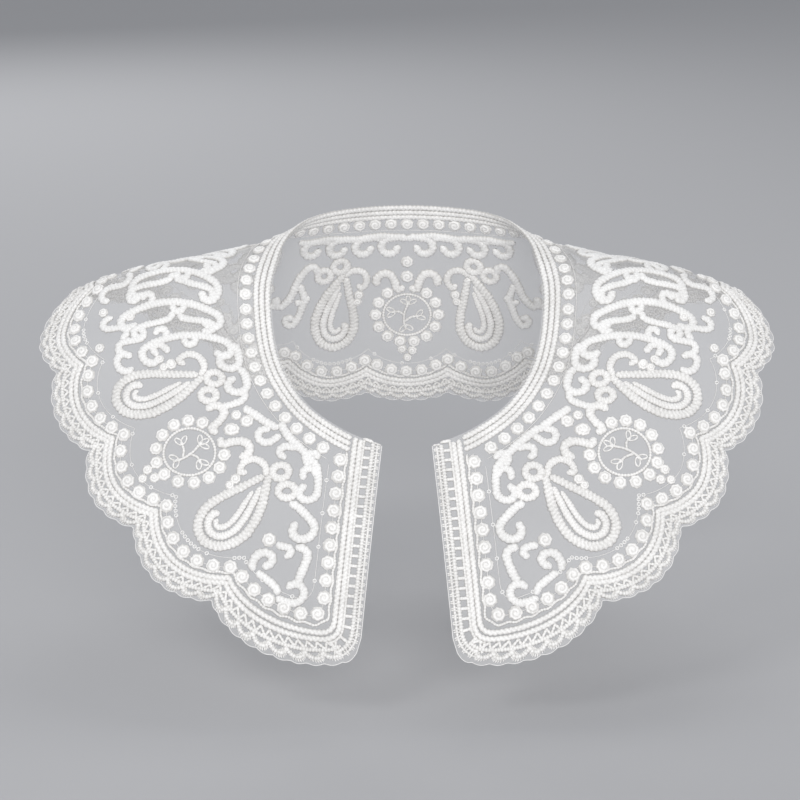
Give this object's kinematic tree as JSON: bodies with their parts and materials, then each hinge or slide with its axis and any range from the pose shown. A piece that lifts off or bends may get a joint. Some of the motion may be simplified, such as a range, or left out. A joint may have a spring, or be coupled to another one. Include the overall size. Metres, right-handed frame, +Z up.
{
  "type": "lace collar",
  "caption": "Detachable sheer collar with a scalloped hem and corded paisley embroidery, open at the front and held up hollow as when worn.",
  "frame": {"origin": "centre of the neck opening, level with the neck edge at the sides", "axes": "+X to the wearer's left, +Y towards the wearer's back, +Z up"},
  "size_m": [0.3674, 0.203, 0.1859],
  "materials": {
    "organza": "sheer woven organza",
    "cord": "matt looped cotton cord"
  },
  "bodies": {
    "root": {"edge_band": "cord", "edge_discs": "cord", "edge_picots": "cord", "ground_cloth": "organza", "medallion_back": "cord", "medallion_left": "cord", "medallion_right": "cord", "neck_band": "cord", "neck_discs": "cord", "neck_garland": "cord", "paisley_crown_back_left": "cord", "paisley_crown_back_right": "cord", "paisley_crown_front_left": "cord", "paisley_crown_front_right": "cord", "paisley_crown_shoulder_left": "cord", "paisley_crown_shoulder_right": "cord", "paisley_hook_back_left": "cord", "paisley_hook_back_right": "cord", "paisley_hook_front_left": "cord", "paisley_hook_front_right": "cord", "paisley_hook_shoulder_left": "cord", "paisley_hook_shoulder_right": "cord", "paisley_rim_back_left": "cord", "paisley_rim_back_right": "cord", "paisley_rim_front_left": "cord", "paisley_rim_front_right": "cord", "paisley_rim_shoulder_left": "cord", "paisley_rim_shoulder_right": "cord", "scroll_front_1_left": "cord", "scroll_front_1_right": "cord", "scroll_heart_1_left": "cord", "scroll_heart_1_right": "cord", "scroll_heart_2_left": "cord", "scroll_heart_2_right": "cord", "scroll_neck_1_left": "cord", "scroll_neck_1_right": "cord", "scroll_neck_2_left": "cord", "scroll_neck_2_right": "cord", "scroll_vine_1_left": "cord", "scroll_vine_1_right": "cord", "scroll_vine_2_left": "cord", "scroll_vine_2_right": "cord", "scroll_vine_3_left": "cord", "scroll_vine_3_right": "cord", "scroll_vine_4_left": "cord", "scroll_vine_4_right": "cord", "scroll_vine_5_left": "cord", "scroll_vine_5_right": "cord", "scroll_vine_6_left": "cord", "scroll_vine_6_right": "cord", "scroll_vine_7_left": "cord", "scroll_vine_7_right": "cord", "scroll_vine_8_left": "cord", "scroll_vine_8_right": "cord", "scroll_vine_9_left": "cord", "scroll_vine_9_right": "cord"}
  },
  "joints": []
}
